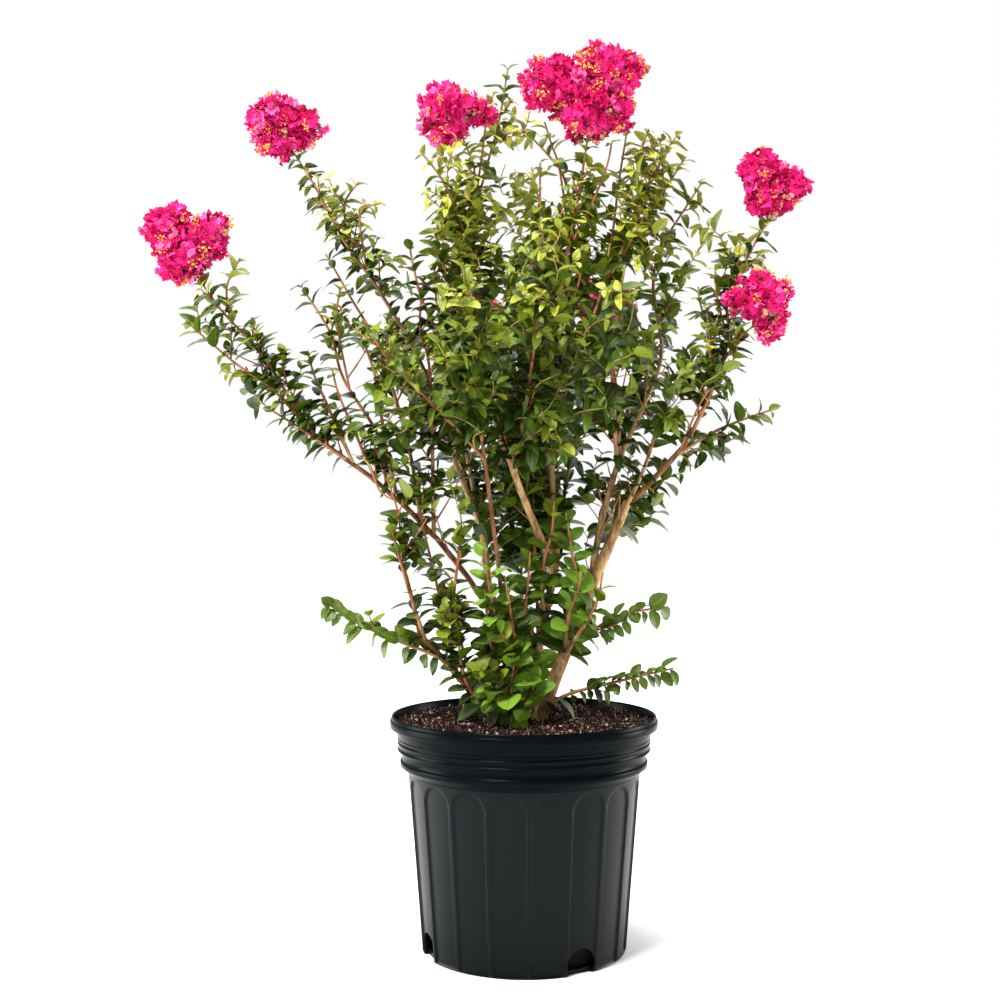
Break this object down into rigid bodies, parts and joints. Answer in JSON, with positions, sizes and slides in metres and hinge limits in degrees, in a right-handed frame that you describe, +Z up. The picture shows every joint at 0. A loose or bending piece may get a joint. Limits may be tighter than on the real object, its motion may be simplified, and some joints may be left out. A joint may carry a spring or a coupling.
{
  "type": "crape myrtle shrub in nursery pot",
  "caption": "Multi-stemmed crape myrtle with pink flower heads, vase-shaped, in a round fluted nursery pot of potting mix.",
  "frame": {"origin": "centre of the pot's flat underside", "axes": "+Z up along the pot's axis; -Y towards the viewer of the picture (the plant's front); +X to the viewer's right"},
  "size_m": [0.6826, 0.4508, 0.9378],
  "materials": {
    "pot": "satin",
    "mix": "matte",
    "bark": "matte",
    "leaves": "matte",
    "petals": "matte"
  },
  "bodies": {
    "root": {"blossom_back_left": "petals", "blossom_back_right": "petals", "blossom_far_left": "petals", "blossom_left": "petals", "blossom_low_right": "petals", "blossom_right": "petals", "blossom_top": "petals", "blossom_top_left": "petals", "bough_centre": "bark", "bough_left_arm": "bark", "bough_left_shoot": "bark", "bough_right_arm": "bark", "bough_right_fork": "bark", "foliage_back_far_left": "leaves", "foliage_back_far_right": "leaves", "foliage_back_left": "leaves", "foliage_back_low": "leaves", "foliage_back_middle": "leaves", "foliage_back_right": "leaves", "foliage_back_top": "leaves", "foliage_centre_back": "leaves", "foliage_centre_front": "leaves", "foliage_centre_left": "leaves", "foliage_centre_right": "leaves", "foliage_foot": "leaves", "foliage_foot_left": "leaves", "foliage_foot_right": "leaves", "foliage_front_far_left": "leaves", "foliage_front_left": "leaves", "foliage_front_middle": "leaves", "foliage_front_right": "leaves", "foliage_left_arm": "leaves", "foliage_left_arm_tip": "leaves", "foliage_left_inner": "leaves", "foliage_left_spire": "leaves", "foliage_low_left": "leaves", "foliage_low_middle": "leaves", "foliage_low_right": "leaves", "foliage_right_arm": "leaves", "foliage_right_low": "leaves", "foliage_right_side": "leaves", "foliage_right_spire": "leaves", "foliage_sprig_left": "leaves", "foliage_sprig_low": "leaves", "foliage_sprig_right": "leaves", "foliage_top_left": "leaves", "foliage_top_middle": "leaves", "foliage_top_right": "leaves", "foliage_upper_left": "leaves", "pot": "pot", "potting_mix": "mix", "stem_centre": "bark", "stem_front": "bark", "stem_left": "bark", "stem_middle_left": "bark", "stem_right": "bark"}
  },
  "joints": []
}
